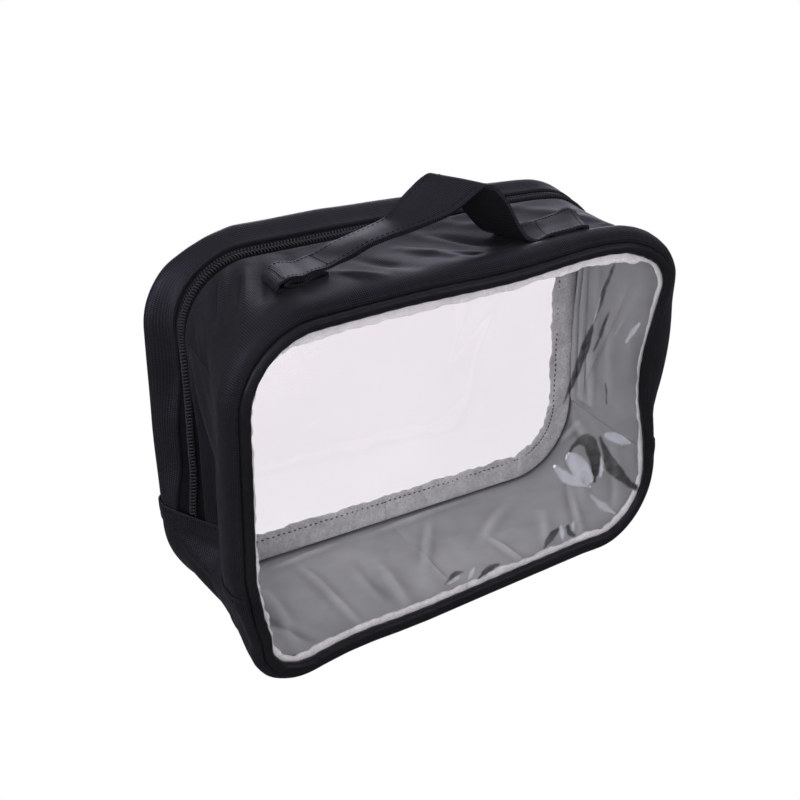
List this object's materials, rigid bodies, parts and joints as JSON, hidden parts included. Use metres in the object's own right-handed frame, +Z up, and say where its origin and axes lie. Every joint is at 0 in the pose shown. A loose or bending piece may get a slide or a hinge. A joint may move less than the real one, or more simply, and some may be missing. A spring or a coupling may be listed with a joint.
{
  "type": "clear-window zip toiletry bag",
  "caption": "Soft box-shaped toiletry bag with clear front and rear windows, corded piping, charcoal gussets, a coil zip round three sides and a carrying strap on top.",
  "frame": {"origin": "centre of the flat underside, on the surface the bag stands on", "axes": "+X across the width, -Y towards the front window, +Z up"},
  "size_m": [0.2666, 0.1012, 0.2101],
  "materials": {
    "clear_pvc": "clear flexible sheet, slightly wrinkled, glossy",
    "piping_vinyl": "smooth black vinyl over a cord",
    "piping_cord": "extruded filler cord, hidden",
    "binding_tape": "brushed grey non-woven tape",
    "thread": "black sewing thread",
    "lining": "smooth grey polyester lining",
    "zip_tape": "black woven tape",
    "zip_coil": "black polyester monofilament coil",
    "zip_metal": "black painted zinc casting",
    "strap": "charcoal woven strap",
    "gusset_cloth": "charcoal coated weave with a soft sheen"
  },
  "bodies": {
    "bag_body": {"front_window": "clear_pvc", "front_piping_cover": "piping_vinyl", "front_piping_cord": "piping_cord", "front_seam_binding": "binding_tape", "front_binding_thread": "thread", "main_gusset": "gusset_cloth", "main_gusset_lining": "lining", "front_zip_tape": "zip_tape", "front_zip_coil": "zip_coil", "front_zip_thread": "thread", "bottom_gusset": "gusset_cloth", "bottom_gusset_lining": "lining", "hem_thread": "thread", "rear_window_lower": "clear_pvc", "rear_piping_cover_lower": "piping_vinyl", "rear_piping_cord_lower": "piping_cord", "rear_seam_binding_lower": "binding_tape", "rear_binding_thread_lower": "thread", "handle_tab_left": "strap", "handle_tab_right": "strap", "handle_thread": "thread"},
    "rear_flap": {"rear_window_flap": "clear_pvc", "rear_piping_cover_flap": "piping_vinyl", "rear_piping_cord_flap": "piping_cord", "rear_seam_binding_flap": "binding_tape", "rear_binding_thread_flap": "thread", "rear_gusset_strip": "gusset_cloth", "rear_gusset_lining": "lining", "rear_zip_tape": "zip_tape", "rear_zip_coil": "zip_coil", "rear_zip_thread": "thread"},
    "zip_slider": {"slider": "zip_metal"},
    "pull_tab": {"puller": "zip_metal"},
    "handle": {"handle_loop": "strap"}
  },
  "joints": [
    {"name": "rear_flap_fold", "type": "hinge", "parent": "bag_body", "child": "rear_flap", "pos_m": [0, 0.0509, 0.0552], "axis": [-1, 0, 0], "range_deg": [0, 110]},
    {"name": "zip_slider_travel", "type": "slide", "parent": "bag_body", "child": "zip_slider", "axis": [0, 0, 1], "range_m": [0, 0.073]},
    {"name": "pull_tab_swing", "type": "hinge", "parent": "zip_slider", "child": "pull_tab", "pos_m": [0.134, 0.022, 0.062], "axis": [0, -1, 0], "range_deg": [0, 170]},
    {"name": "handle_swing", "type": "hinge", "parent": "bag_body", "child": "handle", "pos_m": [-0.0085, -0.019, 0.18695], "axis": [1, 0, 0], "range_deg": [-45, 45], "stiffness_Nm_per_rad": 0.003}
  ]
}
